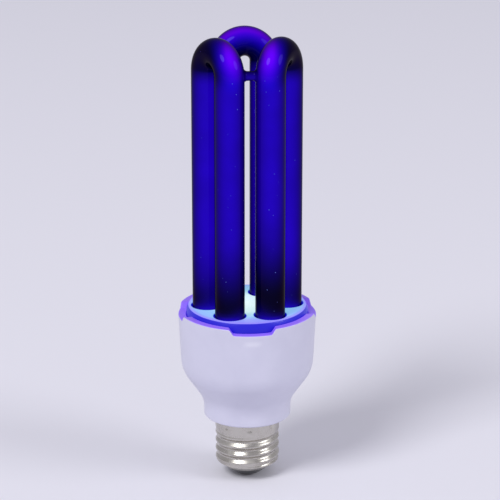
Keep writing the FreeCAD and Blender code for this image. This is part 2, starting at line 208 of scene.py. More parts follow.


# Dark violet glass over a glowing lining. The coat is the glass: its tint swallows more of the glow where
# the eye looks along the wall, so the edges of each leg go dark. The glass has faint waves from drawing,
# smudges that dull its gloss, and specks of dust with painted glints on them, drawn coarse enough to show.
cloud_size = 14.0
dust_spacing = 2.4
wave_size = 9.0
wave_height = 0.15
violet_glass, tree, shader = new_material("dark_violet_glass", {
    "Base Color": srgb("#05031E"),
    "IOR": 1.52,
    "Coat Weight": 1.0,
    "Coat Roughness": 0.06,
    "Coat IOR": 1.07,
    "Coat Tint": srgb("#7F4573"),
    "Specular Tint": srgb("#7CC8FF"),
    "Emission Strength": 6.3,
})
place = add(tree, "ShaderNodeTexCoord").outputs["Object"]
cloud = add(tree, "ShaderNodeTexNoise", {"Vector": place, "Scale": 1 / (cloud_size * mm), "Detail": 3.0})
cloudy = add(tree, "ShaderNodeMapRange", {0: cloud.outputs["Fac"], 1: 0.3, 2: 0.7, 3: 0.9, 4: 1.1})
leg_glow = add(tree, "ShaderNodeAttribute", attribute_name="leg_glow").outputs["Fac"]
leg_level = add(tree, "ShaderNodeMath", {0: leg_glow, 1: cloudy.outputs[0]}, operation="MULTIPLY")
leg_light = add(tree, "ShaderNodeVectorMath", {
    0: srgb("#1A00B4")[:3], "Scale": leg_level.outputs[0],
}, operation="SCALE")
bend_glow = add(tree, "ShaderNodeAttribute", attribute_name="bend_glow").outputs["Fac"]
warmth = add(tree, "ShaderNodeMath", {0: bend_glow, 1: 2.0}, operation="POWER", use_clamp=True)
bend_hue = add(tree, "ShaderNodeMix", {
    0: warmth.outputs[0], 6: srgb("#1700FF"), 7: srgb("#5A02FF"),
}, data_type="RGBA")
bend_light = add(tree, "ShaderNodeVectorMath", {
    0: bend_hue.outputs[2], "Scale": bend_glow,
}, operation="SCALE")
# Painted light: the plate's glow on the feet of the legs, painted into the glass's emission.
foot_glow = add(tree, "ShaderNodeAttribute", attribute_name="foot_glow").outputs["Fac"]
foot_light = add(tree, "ShaderNodeVectorMath", {
    0: srgb("#1712B4")[:3], "Scale": foot_glow,
}, operation="SCALE")
upper_light = add(tree, "ShaderNodeVectorMath", {
    0: leg_light.outputs[0], 1: bend_light.outputs[0],
}, operation="ADD")
lining = add(tree, "ShaderNodeVectorMath", {
    0: upper_light.outputs[0], 1: foot_light.outputs[0],
}, operation="ADD")
# Specks of dust on the glass, each carrying a painted glint of pale cyan light in the emission.
dust = add(tree, "ShaderNodeTexVoronoi", {"Vector": place, "Scale": 1 / (dust_spacing * mm)})
speck_size = add(tree, "ShaderNodeMapRange", {0: dust.outputs["Color"], 1: 0.35, 2: 1.0, 3: 0.0, 4: 0.12})
inside_speck = add(tree, "ShaderNodeMath", {
    0: speck_size.outputs[0], 1: dust.outputs["Distance"],
}, operation="SUBTRACT")
dust_glint = add(tree, "ShaderNodeMapRange", {0: inside_speck.outputs[0], 1: 0.0, 2: 0.05, 3: 0.0, 4: 0.9})
lit = add(tree, "ShaderNodeMix", {
    0: dust_glint.outputs[0], 6: lining.outputs[0], 7: srgb("#6FECFF"),
}, data_type="RGBA")
tree.links.new(lit.outputs[2], shader.inputs["Emission Color"])
smudge = add(tree, "ShaderNodeMapRange", {0: cloud.outputs["Fac"], 1: 0.35, 2: 0.7, 3: 0.05, 4: 0.16})
tree.links.new(smudge.outputs[0], shader.inputs["Roughness"])
waves = add(tree, "ShaderNodeTexNoise", {"Vector": place, "Scale": 1 / (wave_size * mm), "Detail": 1.0})
wavy = add(tree, "ShaderNodeBump", {
    "Height": waves.outputs["Fac"], "Strength": 0.25, "Distance": wave_height * mm,
})
tree.links.new(wavy.outputs["Normal"], shader.inputs["Coat Normal"])
tree.links.new(wavy.outputs["Normal"], shader.inputs["Normal"])

ring_steps = 64
dome_steps = 7
leg_steps = 70
bend_steps = 60
join_steps = 24
upright = np.array([0.0, 0.0, 1.0])
ring_angles = np.linspace(0, 2 * math.pi, ring_steps + 1)
dome = np.linspace(0, math.pi / 2, dome_steps + 1)[:-1]
leg_heights = np.linspace(foot_level + foot_dome, bend_level, leg_steps + 1)
turns = np.linspace(0, math.pi, bend_steps + 1)[1:-1]
heights = np.concatenate([foot_level + foot_dome * (1 - np.cos(dome)), leg_heights])
swell = np.concatenate([np.sin(dome), np.ones(len(leg_heights))])
tube_radii = tube_radius * np.concatenate([swell, np.ones(len(turns)), swell[::-1]])
bend_turn = np.concatenate([np.zeros(len(heights)), np.degrees(turns), np.full(len(heights), 180.0)])
sheets, leg_glows, bend_glows, foot_glows = [], [], [], []
# Each U is a ring carried up one leg, round the half circle of the bend and down the other leg.
for first, second, first_lean, second_lean, lean_change in bent_pairs:
    start, end = on_leg_circle(first), on_leg_circle(second)
    across = (end - start) / leg_circle
    middle = (start + end) / 2 + bend_level * upright
    around_bend = np.sin(turns)[:, None] * upright - np.cos(turns)[:, None] * across
    line = np.concatenate([
        start + heights[:, None] * upright,
        middle + bend_radius * around_bend,
        end + heights[::-1, None] * upright,
    ])
    tangent = np.concatenate([
        np.tile(upright, (len(heights), 1)),
        np.cos(turns)[:, None] * upright + np.sin(turns)[:, None] * across,
        np.tile(-upright, (len(heights), 1)),
    ])
    outward = np.concatenate([
        np.tile(-across, (len(heights), 1)),
        around_bend,
        np.tile(across, (len(heights), 1)),
    ])
    sheet = swept(line, tangent, outward, tube_radii, ring_angles)
    sheets.append(sheet)
    height = np.broadcast_to(line[:, None, 2], sheet.shape[:2])
    above_plate = height - plate_level
    above_legs = height - bend_level
    in_first_half = np.arange(len(line))[:, None] < len(line) // 2
    first_onset, second_onset = (eased(above_plate, *glow_onset[leg]) for leg in (first, second))
    onset = np.where(in_first_half, first_onset, second_onset)
    leg_share = dark_end_glow + (1 - dark_end_glow) * onset
    leg_glows.append((1 - eased(above_legs, *leg_glow_ends)) * leg_share)
    lean = first_lean + (second_lean - first_lean) * eased(bend_turn[:, None], *lean_change)
    facing = (np.cos(ring_angles - np.radians(lean)) + bright_side_wrap) / (1 + bright_side_wrap)
    bright_side = np.clip(facing, 0, 1) ** bright_side_power
    crown = eased(above_legs, *crown_starts) * bright_side ** crown_power
    bend_share = dim_bend_glow + bright_bend_glow * bright_side + crown_glow * crown
    bend_glows.append(eased(above_legs, *bend_glow_starts) * bend_share)
    # Painted light from the plate on the feet, fading with height, more slowly on the side facing the axis.
    to_axis = -line[:, :2] / np.linalg.norm(line[:, :2], axis=1)[:, None]
    from_line = (sheet - line[:, None])[..., :2] / tube_radius
    faces_axis = 0.5 + 0.5 * np.sum(from_line * to_axis[:, None], axis=-1)
    foot_fade = outer_foot_fade + (inner_foot_fade - outer_foot_fade) * faces_axis
    foot_glows.append(np.exp(-np.maximum(above_plate, 0) / foot_fade))
# Each join is a ring carried straight from leg to leg, and widened by a bell curve at both ends.
for first, second, level, radius, top_glow, bottom_glow in joined_pairs:
    start, end = on_leg_circle(first), on_leg_circle(second)
    across = (end - start) / leg_circle
    steps = np.linspace(join_start, 1 - join_start, join_steps + 1)
    way = np.concatenate([steps[:1], steps, steps[-1:]])
    from_leg = leg_circle * np.minimum(way, 1 - way) - flare_foot
    radii = radius + join_flare * np.exp(-(from_leg / flare_length) ** 2)
    radii[[0, -1]] = 0
    line = start + way[:, None] * (end - start) + level * upright
    tangent = np.tile(across, (len(way), 1))
    outward = np.tile(upright, (len(way), 1))
    sheet = swept(line, tangent, outward, radii, ring_angles)
    sheets.append(sheet)
    # Glow of the lined bridges, and painted light from the plate on the solid bead.
    glow_and_painted_light = bottom_glow + (top_glow - bottom_glow) * (1 + np.cos(ring_angles)) / 2
    leg_glows.append(np.broadcast_to(glow_and_painted_light, sheet.shape[:2]))
    bend_glows.append(np.zeros(sheet.shape[:2]))
    foot_glows.append(np.zeros(sheet.shape[:2]))
piece_of("glass_tube", sheets, violet_glass, "dark_violet_glass", ["discharge_tube"],
         leg_glow=leg_glows, bend_glow=bend_glows, foot_glow=foot_glows)


# Tube cover: a white plastic moulding with a flat plate, six collared holes that the legs stand in, and a
# skirt that drops into the cup and snaps in with four lugs. Its brightener turns the ultraviolet into a
# pale glow, which is painted as emission, and its walls and holes are painted in deep blue shade.
hole_radius = 6.65
hole_edge = 0.35
# Depths in a hole over which the painted glow and the top's colours give way to painted shade.
hole_glow_depth = 4.0
hole_lip_depth = 0.3
collar_radius = 7.85
plate_radius = 24.1
plate_edge = 0.7
# Heights from the top of the plate over which its rounded edge goes from the side's painted shade to the
# top's colours.
plate_lip = (-0.45, -0.05)
plate_underside = plate_level - 1.8
skirt_radius = 24.7
skirt_inner_radius = 23.1
cover_bottom = level_of("tube_cover", 0)
rim_level = level_of("housing_cup", 1)
lug_width = 6.5
lug_root = 24.0
lug_reach = 25.5
lug_bottom = 39.0
lug_corner = 40.4
lug_top = 41.2
half_sector = 30
border_steps = 24


def arc(centre_x, centre_z, radius, start, end, steps):
    """Points of a circle's arc between two angles in degrees, as rows of (x, z)."""
    turn = np.radians(np.linspace(start, end, steps))
    return np.stack([centre_x + radius * np.cos(turn), centre_z + radius * np.sin(turn)], axis=1)


def turned_sheet(profile, angles, centre=(0.0, 0.0)):
    """Sheet of a (radius, height) profile turned about an upright axis: x = r cos(a), y = r sin(a) and
    z = h."""
    radius, height = profile[:, 0, None], profile[:, 1, None]
    x = centre[0] + radius * np.cos(angles)
    y = centre[1] + radius * np.sin(angles)
    return np.stack([x, y, np.broadcast_to(height, x.shape)], axis=-1)


def plate_sector(leg_angle, outer_radius, inner_radius, level, steps=7):
    """Sheet of one sixth of a disc about its leg's hole. Its border runs along the disc's rim, in to the
    centre and out again, and each border point is joined straight to the point of the hole's edge in the
    same direction. Returns the sheet, and each column's direction and distance from the hole's middle."""
    ray = np.linspace(outer_radius, 0, border_steps + 1)
    radius = np.concatenate([np.full(border_steps + 1, outer_radius), ray[1:], ray[-2::-1]])
    rim_turn = np.linspace(-half_sector, half_sector, border_steps + 1)
    ray_turn = np.full(border_steps, half_sector)
    angle = np.radians(leg_angle + np.concatenate([rim_turn, ray_turn, -ray_turn]))
    x, y = radius * np.cos(angle), radius * np.sin(angle)
    border = np.stack([x, y, np.full(radius.shape, level)], axis=-1)
    centre = on_leg_circle(leg_angle) + level * upright
    away = border - centre
    direction = np.arctan2(away[:, 1], away[:, 0])
    distance = np.linalg.norm(away, axis=1)
    edge = centre + inner_radius * away / distance[:, None]
    share = np.linspace(0, 1, steps)[:, None, None]
    return edge + share * (border - edge), direction, distance


def slab(outline, thickness, angle):
    """Sheet round a flat slab that stands in the upright plane at an angle about the axis: the middle of
    one face, the (radius, height) outline on it, the outline on the other face, and the other middle."""
    loop = np.concatenate([outline, outline[:1]])
    inner = np.tile(np.mean(outline, axis=0), (len(loop), 1))
    rows = np.stack([inner, loop, loop, inner])
    side = thickness / 2 * np.array([-1, -1, 1, 1])[:, None]
    turn = math.radians(angle)
    x = rows[..., 0] * math.cos(turn) - side * math.sin(turn)
    y = rows[..., 0] * math.sin(turn) + side * math.cos(turn)
    return np.stack([x, y, rows[..., 1]], axis=-1)


hole_profile = np.concatenate([
    [[hole_radius, cover_bottom]],
    arc(hole_radius + hole_edge, plate_level - hole_edge, hole_edge, start=180, end=90, steps=6),
])
sheets, painted_glows, tops = [], [], []
for leg_angle in range(0, 360, 60):
    top, directions, distances = plate_sector(
        leg_angle, skirt_inner_radius, hole_radius + hole_edge, plate_level)
    (edge, border), _, _ = plate_sector(leg_angle, skirt_inner_radius, hole_radius, cover_bottom, steps=2)
    collar_share = (np.minimum(distances, collar_radius) - hole_radius) / (distances - hole_radius)
    collar = edge + collar_share[:, None] * (border - edge)
    bottom = np.stack([edge, collar, collar, border])
    bottom[2:, :, 2] = np.where(distances > collar_radius, plate_underside, cover_bottom)
    hole = turned_sheet(hole_profile, directions[::-1], on_leg_circle(leg_angle))
    sheets += [top[:, ::-1], bottom, hole]
    # Painted light and shade: the plate's top glows in full, its underside not, and a hole's wall goes from
    # the glow into painted shade below its lip.
    bare, full = np.zeros(bottom.shape[:2]), np.ones(top.shape[:2])
    below_top = hole[..., 2] - plate_level
    painted_glows += [full, bare, eased(below_top, -hole_glow_depth, 0)]
    tops += [full, bare, eased(below_top, -hole_lip_depth, 0)]
side_profile = np.concatenate([
    [[skirt_inner_radius, cover_bottom], [skirt_inner_radius, cover_bottom]],
    [[skirt_radius, cover_bottom], [skirt_radius, rim_level]],
    arc(plate_radius - plate_edge, plate_level - plate_edge, plate_edge, start=10, end=90, steps=8),
    [[skirt_inner_radius, plate_level]],
])
side_angles = np.linspace(-half_sector, 360 - half_sector, 6 * border_steps + 1)
side = turned_sheet(side_profile, np.radians(side_angles)).copy()
# The skirt's inner wall starts where the underside ends, at the plate or at the foot of a collar.
side[0, :, 2] = np.resize(bottom[-1, :border_steps, 2], side.shape[1])
sheets.append(side)
# Painted light: the side glows from the rim up, and its rounded edge goes over to the top's colours.
from_rim_up = (side_profile[:, 1] >= rim_level)[:, None]
painted_glows.append(np.broadcast_to(from_rim_up, side.shape[:2]).astype(float))
tops.append(eased(side[..., 2] - plate_level, *plate_lip))
lug_outline = np.array([
    (lug_root, lug_bottom), (skirt_radius, lug_bottom), (lug_reach, lug_corner), (lug_reach, lug_top),
    (lug_root, lug_top),
])
lugs = [slab(lug_outline, lug_width, angle) for angle in range(0, 360, 90)]
no_glow = [np.zeros(lug.shape[:2]) for lug in lugs]
sheets += lugs
painted_glows += no_glow
tops += no_glow

# Moulded white plastic with a brightener: semi-gloss, faintly uneven from the mould, and lit by the tubes,
# whose light is painted on it. Its top is painted lavender by their violet light, and a painted glow runs
# green-white in the middle, pale blue round the legs and violet at the edge, and bluer in front of the two
# dark ends. Its walls and holes are painted in deep blue shade. The grain of the mould is drawn coarse
# enough to show.
mottle_size = 6.0
grain_size = 0.5
grain_height = 0.05
bluest_front = -20.5
bluer_from = -15.5
cover_plastic, tree, shader = new_material("white_cover_plastic", {
    "IOR": 1.5,
    "Emission Strength": 1.0,
})
place = add(tree, "ShaderNodeTexCoord").outputs["Object"]
flat = add(tree, "ShaderNodeVectorMath", {0: place, 1: (1 / mm, 1 / mm, 0.0)}, operation="MULTIPLY")
from_axis = add(tree, "ShaderNodeVectorMath", {0: flat.outputs[0]}, operation="LENGTH").outputs["Value"]
share = add(tree, "ShaderNodeMapRange", {0: from_axis, 2: skirt_radius})
# Painted light: a glow by distance from the axis, green-white in the middle and violet at the edge.
glow = add(tree, "ShaderNodeValToRGB", {0: share.outputs[0]})
stops = glow.color_ramp.elements
stops[0].color = srgb("#D8EEDF")
stops[1].color = srgb("#0800A4")
for at, colour in ((0.4, "#C9E9E2"), (0.68, "#74B6C2"), (0.9, "#6AA0C6"), (0.96, "#5C5CC0")):
    stops.new(at).color = srgb(colour)
# Painted light: the glow is bluer in front of the two dark ends of the tube.
front = add(tree, "ShaderNodeSeparateXYZ", {0: flat.outputs[0]}).outputs["Y"]
by_dark_ends = add(tree, "ShaderNodeMapRange", {0: front, 1: bluest_front, 2: bluer_from, 3: 1.0, 4: 0.0})
bluer = add(tree, "ShaderNodeMix", {
    0: by_dark_ends.outputs[0], 6: glow.outputs["Color"], 7: srgb("#D7ADF3"),
}, data_type="RGBA", blend_type="MULTIPLY")
# Painted light and shade: the glow falls where this mask is set, and faces off the top get dark colours.
lit_part = add(tree, "ShaderNodeAttribute", attribute_name="glow").outputs["Fac"]
on_top = add(tree, "ShaderNodeAttribute", attribute_name="top").outputs["Fac"]
# Painted light on the walls and in the holes: a deep blue glow, and on the top the glow above.
glow_hue = add(tree, "ShaderNodeMix", {
    0: on_top, 6: srgb("#0802A4"), 7: bluer.outputs[2],
}, data_type="RGBA")
glow_level = add(tree, "ShaderNodeVectorMath", {
    0: glow_hue.outputs[2], "Scale": lit_part,
}, operation="SCALE")
tree.links.new(glow_level.outputs[0], shader.inputs["Emission Color"])
mottle = add(tree, "ShaderNodeTexNoise", {"Vector": place, "Scale": 1 / (mottle_size * mm), "Detail": 4.0})
# Painted violet light: the top's white is laid down as lavender, faintly clouded.
mottled = add(tree, "ShaderNodeMix", {
    0: mottle.outputs["Fac"], 6: srgb("#8C88D4"), 7: srgb("#9C98E0"),
}, data_type="RGBA")
# Painted shade: walls and holes take a deep blue in place of the top's colour.
tint = add(tree, "ShaderNodeMix", {
    0: on_top, 6: srgb("#140E8C"), 7: mottled.outputs[2],
}, data_type="RGBA")
tree.links.new(tint.outputs[2], shader.inputs["Base Color"])
sheen = add(tree, "ShaderNodeMapRange", {0: mottle.outputs["Fac"], 1: 0.3, 2: 0.7, 3: 0.32, 4: 0.44})
tree.links.new(sheen.outputs[0], shader.inputs["Roughness"])
grain = add(tree, "ShaderNodeTexNoise", {"Vector": place, "Scale": 1 / (grain_size * mm), "Detail": 2.0})
grained = add(tree, "ShaderNodeBump", {
    "Height": grain.outputs["Fac"], "Strength": 0.12, "Distance": grain_height * mm,
})
tree.links.new(grained.outputs["Normal"], shader.inputs["Normal"])
piece_of("tube_cover_plate", sheets, cover_plastic, "white_cover_plastic", ["tube_cover"],
         glow=painted_glows, top=tops)


# Cement: a ring of white lamp cement that was poured round each leg at the foot of its hole and baked
# hard. It is matt and gritty, and shows only as the floor of the dark slot round each leg.
grit_size = 0.4
grit_height = 0.1


def grained_finish(name, values, dark, light, grain, detail, strength, depth):
    """Material of two tones that are mixed by a noise whose clumps have the grain's size in millimetres.
    The same noise raises the surface by the depth times the strength."""
    material, tree, shader = new_material(name, values)
    place = add(tree, "ShaderNodeTexCoord").outputs["Object"]
    clumps = add(tree, "ShaderNodeTexNoise", {"Vector": place, "Scale": 1 / (grain * mm), "Detail": detail})
    tint = add(tree, "ShaderNodeMix", {
        0: clumps.outputs["Fac"], 6: srgb(dark), 7: srgb(light),
    }, data_type="RGBA")
    tree.links.new(tint.outputs[2], shader.inputs["Base Color"])
    raised = add(tree, "ShaderNodeBump", {
        "Height": clumps.outputs["Fac"], "Strength": strength, "Distance": depth * mm,
    })
    tree.links.new(raised.outputs["Normal"], shader.inputs["Normal"])
    return material


def dress(node, material):
    """Gives a solid of the frame this material in place of its plain one."""
    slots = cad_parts[node].data.materials
    slots.clear()
    slots.append(material)


cement = grained_finish("white_cement", {"Roughness": 0.95}, dark="#C9C4B8", light="#E6E3DA",
                        grain=grit_size, detail=5.0, strength=0.5, depth=grit_height)
dress("tube_cement", cement)


# Housing cup: a white plastic moulding that holds the ballast, with a bowl, a neck, ribs for the board and
# a stub that the cap is fixed to. Four notches in its rim let a tool in to part the cover from it, and the
# cover's lugs sit in pockets under them.
rim_radius = 28.1
rim_edge = 0.45
# Depth under the rim over which its painted lilac light comes on.
rim_glow_depth = 0.3
mouth_radius = 24.9
mouth_edge = 0.2
mouth_bottom = 21.0
# Heights of the mouth over which its painted lilac light comes on.
mouth_glow_heights = (36.0, 40.0)
rim_middle = mouth_radius + 1
bowl_radius = 26.85
bowl_level = 20.3
bowl_blend = 14.0
neck_radius = 17.75
neck_level = 7.3
neck_blend = 12.0
neck_edge = 0.5
neck_edge_blend = 0.3
neck_bore = 15.75
neck_bore_top = 7.93
neck_floor = 2.0
stub_radius = 11.6
stub_bore = 10.65
stub_end = level_of("housing_cup", 0)
notch_width = 15.4
notch_flare = 1.55
notch_depth = 2.35
notch_reach = 6.0
notch_softness = 0.14
# Degrees between the columns of the cup's mesh, and finer ones over the two flared sides of each notch.
coarse_step = 2.0
fine_step = 0.17
notch_side_start = 14.5
notch_side_end = 23.01
pocket_level = 40.1
pocket_half_width = 3.3
pocket_half_height = 1.3
rib_thickness = 1.4
rib_root = 25.5
rib_face = 23.1
rib_bottom = 23.2
ledge_face = 21.3
ledge_level = level_of("ballast_board", 0)
ledge_bottom = 27.4


def rounded_line(corners, steps=9):
    """Rows of (radius, height) through (radius, height, rounding) corners. A corner with a rounding becomes
    the arc that is tangent to both its sides: it starts r tan(t / 2) before the corner, where t is the
    turn."""
    spots = np.array([corner[:2] for corner in corners], float)
    rows = [spots[:1]]
    for before, spot, after, (_, _, rounding) in zip(spots, spots[1:], spots[2:], corners[1:]):
        if rounding == 0:
            rows.append(spot[None])
            continue
        back = (before - spot) / np.linalg.norm(before - spot)
        ahead = (after - spot) / np.linalg.norm(after - spot)
        half_turn = (math.pi - math.acos(np.clip(back @ ahead, -1, 1))) / 2
        hub = spot + (back + ahead) / np.linalg.norm(back + ahead) * rounding / math.cos(half_turn)
        swing = np.linspace(-half_turn, half_turn, steps)[:, None]
        out = (spot - hub) / np.linalg.norm(spot - hub)
        onward = (ahead - back) / np.linalg.norm(ahead - back)
        rows.append(hub + rounding * (np.cos(swing) * out + np.sin(swing) * onward))
    return np.concatenate(rows + [spots[-1:]])


def spaced(profile, longest):
    """The profile with even points put into each stretch that is longer than the longest allowed."""
    lengths = np.linalg.norm(np.diff(profile, axis=0), axis=1)
    counts = np.maximum(np.ceil(lengths / longest).astype(int), 1)
    stretches = [
        start + (end - start) * np.arange(count)[:, None] / count
        for start, end, count in zip(profile, profile[1:], counts)
    ]
    return np.concatenate(stretches + [profile[-1:]])


outside = spaced(rounded_line([
    (neck_radius - neck_edge, 0.0, 0), (neck_radius, neck_edge, neck_edge_blend),
    (neck_radius, neck_level, neck_blend), (bowl_radius, bowl_level, bowl_blend),
    (rim_radius, rim_level, rim_edge), (rim_middle, rim_level, 0),
]), longest=1.5)
inside = spaced(rounded_line([
    (rim_middle, rim_level, 0), (mouth_radius, rim_level, mouth_edge), (mouth_radius, mouth_bottom, 0),
    (neck_bore, neck_bore_top, 0), (neck_bore, neck_floor, 0), (stub_bore, neck_floor, 0),
    (stub_bore, stub_end, 0), (stub_radius, stub_end, 0), (stub_radius, 0.0, 0),
    (neck_radius - neck_edge, 0.0, 0),
]), longest=3.0)
profile = np.concatenate([outside, inside[1:]])
coarse = np.arange(0, 90, coarse_step)
notch_side = np.arange(notch_side_start, notch_side_end, fine_step)
quarter = np.concatenate([coarse, notch_side, 90 - notch_side])
angles = np.concatenate([quarter, quarter + 90, quarter + 180, quarter + 270, [360.0]])
angles = np.unique(angles.round(6))
cup = turned_sheet(profile, np.radians(angles))
from_notch = np.radians((angles + 45) % 90 - 45)
across_notch = np.abs(np.linalg.norm(cup[..., :2], axis=-1) * np.sin(from_notch))
# A notch's slope rises from 0 outside its flare to 1 inside it, and both its corners are rounded by a soft
# maximum with 0 and a soft minimum with 1. The drop fades out down the wall over the notch's reach.
slope = (notch_width / 2 + notch_flare - across_notch) / notch_flare
slope = 0.5 * (slope + np.sqrt(slope ** 2 + notch_softness ** 2))
slope = 1 - 0.5 * (1 - slope + np.sqrt((1 - slope) ** 2 + notch_softness ** 2))
near_rim = np.clip((profile[:, 1] - rim_level + notch_reach) / (notch_reach - rim_edge), 0, 1)[:, None]
# Over each lug's pocket the wall is painted paler, as with light showing through the thin wall.
off_pocket = (cup[..., 2] - pocket_level) / pocket_half_height
pocket = np.exp(-((across_notch / pocket_half_width) ** 4 + off_pocket ** 4))
on_outside = (np.arange(len(profile)) < len(outside))[:, None]
# Painted light: the rim's top and the upper mouth take the tubes' lilac light.
rim_part = eased(outside[:, 1], rim_level - rim_glow_depth, rim_level)
mouth_part = eased(inside[1:, 1], *mouth_glow_heights)
rim_glow = np.broadcast_to(np.concatenate([rim_part, mouth_part])[:, None], cup.shape[:2])
cup[..., 2] -= notch_depth * near_rim * slope
rib_outline = np.array([
    (rib_root, cover_bottom), (rib_face, cover_bottom), (rib_face, ledge_level),
    (ledge_face, ledge_level), (ledge_face, ledge_bottom), (rib_root, rib_bottom),
])
ribs = [slab(rib_outline, rib_thickness, angle) for angle in range(30, 390, 60)]
no_glow = [np.zeros(rib.shape[:2]) for rib in ribs]

# Moulded white plastic: semi-gloss, with faint clouds in it and the grain of the mould, drawn coarse enough
# to show. Its white is tinted lavender, partly its own cool tint and partly painted violet light of the
# tubes. The rim and the mouth carry a painted lilac glow of the tubes' light, and the wall is painted
# paler, as with light showing through, where it is thin over the pockets of the lugs.
mottle_size = 9.0
grain_size = 0.5
grain_height = 0.05
cup_plastic, tree, shader = new_material("white_cup_plastic", {
    "IOR": 1.5,
    "Emission Strength": 1.0,
})
place = add(tree, "ShaderNodeTexCoord").outputs["Object"]
mottle = add(tree, "ShaderNodeTexNoise", {"Vector": place, "Scale": 1 / (mottle_size * mm), "Detail": 4.0})
# Lavender-tinted white: partly the plastic's own cool tint, partly painted violet light of the tubes.
mottled = add(tree, "ShaderNodeMix", {
    0: mottle.outputs["Fac"], 6: srgb("#C9C8DD"), 7: srgb("#D5D4E7"),
}, data_type="RGBA")
# Painted light: paler over the pockets, as with light showing through the thin wall.
thin = add(tree, "ShaderNodeAttribute", attribute_name="thin_wall").outputs["Fac"]
light_through_part = add(tree, "ShaderNodeMath", {0: thin, 1: 0.5}, operation="MULTIPLY")
paler = add(tree, "ShaderNodeMix", {
    0: light_through_part.outputs[0], 6: mottled.outputs[2], 7: srgb("#E8E7F4"),
}, data_type="RGBA")
# Painted light: the rim and mouth are laid down lilac, with a lilac glow added.
painted_rim_share = add(tree, "ShaderNodeAttribute", attribute_name="rim_glow").outputs["Fac"]
tint = add(tree, "ShaderNodeMix", {
    0: painted_rim_share, 6: paler.outputs[2], 7: srgb("#9B76F2"),
}, data_type="RGBA")
tree.links.new(tint.outputs[2], shader.inputs["Base Color"])
# Painted lilac glow of the tubes' light on the rim and mouth.
painted_rim_glow = add(tree, "ShaderNodeMix", {
    0: painted_rim_share, 6: srgb("#000000"), 7: srgb("#281270"),
}, data_type="RGBA")
tree.links.new(painted_rim_glow.outputs[2], shader.inputs["Emission Color"])
sheen = add(tree, "ShaderNodeMapRange", {0: mottle.outputs["Fac"], 1: 0.3, 2: 0.7, 3: 0.34, 4: 0.46})
tree.links.new(sheen.outputs[0], shader.inputs["Roughness"])
grain = add(tree, "ShaderNodeTexNoise", {"Vector": place, "Scale": 1 / (grain_size * mm), "Detail": 2.0})
grained = add(tree, "ShaderNodeBump", {
    "Height": grain.outputs["Fac"], "Strength": 0.15, "Distance": grain_height * mm,
})
tree.links.new(grained.outputs["Normal"], shader.inputs["Normal"])
piece_of("notched_cup", [cup] + ribs, cup_plastic, "white_cup_plastic", ["housing_cup"],
         rim_glow=[rim_glow] + no_glow, thin_wall=[pocket * on_outside] + no_glow)


# Cap shell: thin brass sheet, drawn to a cup, plated bright and rolled with a rounded right-hand screw
# thread. Its collar is fixed to the stub of the cup by punched dimples, and its lower edge is turned in
# over the insulator.
cap_radius = 13.15
cap_sheet = 0.35
collar_length = 5.5
straight_end = -19.8
shell_end = level_of("cap_shell", 0)
shell_end_radius = 9.8
shell_end_blend = 1.2
fine_rows_start = -18.0
thread_pitch = 3.629
thread_depth = 1.05
front_crest_level = -10.6
thread_run_in = (-0.6, 1.6)
thread_run_out = 2.2
dimple_count = 8
dimple_level = -2.9
dimple_depth = 0.4
dimple_radius = 1.1
shell_rows = 169
shell_columns = 144

lower = spaced(rounded_line([
    (shell_end_radius, shell_end, 0), (cap_radius, straight_end, shell_end_blend),
    (cap_radius, fine_rows_start, 0),
]), longest=0.3)
row_heights = np.linspace(fine_rows_start, 0, shell_rows + 1)[1:]
upper = np.stack([np.full(row_heights.shape, cap_radius), row_heights], axis=1)
profile = np.concatenate([lower, upper])
angles = np.linspace(0, 2 * math.pi, shell_columns + 1)
level = profile[:, 1, None]
# The thread goes in by its depth times a raised cosine of the height, less one pitch for each turn, and
# fades at both ends. The dimples are soft round dents at even steps round the collar.
run_in = eased(level - straight_end, *thread_run_in)
run_out = 1 - eased(level, -collar_length - thread_run_out, -collar_length)
phase = 2 * math.pi * (level - front_crest_level) / thread_pitch - (angles + math.pi / 2)
roll = thread_depth * run_in * run_out * (0.5 - 0.5 * np.cos(phase))
from_dimple = (angles * dimple_count / (2 * math.pi) + 0.5) % 1 - 0.5
sideways = from_dimple * 2 * math.pi / dimple_count * cap_radius
off_dimple = (sideways ** 2 + (level - dimple_level) ** 2) / dimple_radius ** 2
punched = dimple_depth * np.exp(-off_dimple ** 1.5)
radius = profile[:, 0, None] - roll - punched
shell_height = np.broadcast_to(level, radius.shape)
outer = np.stack([radius * np.cos(angles), radius * np.sin(angles), shell_height], axis=-1)
inner = outer.copy()
inner[..., :2] *= ((radius - cap_sheet) / radius)[..., None]
shell = np.concatenate([outer, inner[::-1], outer[:1]])

# Plated sheet metal: bright, with the rings of drawing and rolling, drawn coarse enough to show, and
# duller patches where it was handled.
patch_size = 5.0
ring_length = 12.5
ring_width = 0.25
ring_height = 0.04
plated_sheet, tree, shader = new_material("plated_cap_sheet", {"Metallic": 1.0})
place = add(tree, "ShaderNodeTexCoord").outputs["Object"]
handled = add(tree, "ShaderNodeTexNoise", {"Vector": place, "Scale": 1 / (patch_size * mm), "Detail": 5.0})
tint = add(tree, "ShaderNodeMix", {
    0: handled.outputs["Fac"], 6: srgb("#B4AFA6"), 7: srgb("#D6D3CC"),
}, data_type="RGBA")
tree.links.new(tint.outputs[2], shader.inputs["Base Color"])
dulled = add(tree, "ShaderNodeMapRange", {0: handled.outputs["Fac"], 1: 0.35, 2: 0.7, 3: 0.2, 4: 0.36})
tree.links.new(dulled.outputs[0], shader.inputs["Roughness"])
stretched = add(tree, "ShaderNodeMapping", {
    "Vector": place, "Scale": (1 / (ring_length * mm), 1 / (ring_length * mm), 1 / (ring_width * mm)),
})
rings = add(tree, "ShaderNodeTexNoise", {"Vector": stretched.outputs[0], "Scale": 1.0, "Detail": 2.0})
ringed = add(tree, "ShaderNodeBump", {
    "Height": rings.outputs["Fac"], "Strength": 0.1, "Distance": ring_height * mm,
})
tree.links.new(ringed.outputs["Normal"], shader.inputs["Normal"])
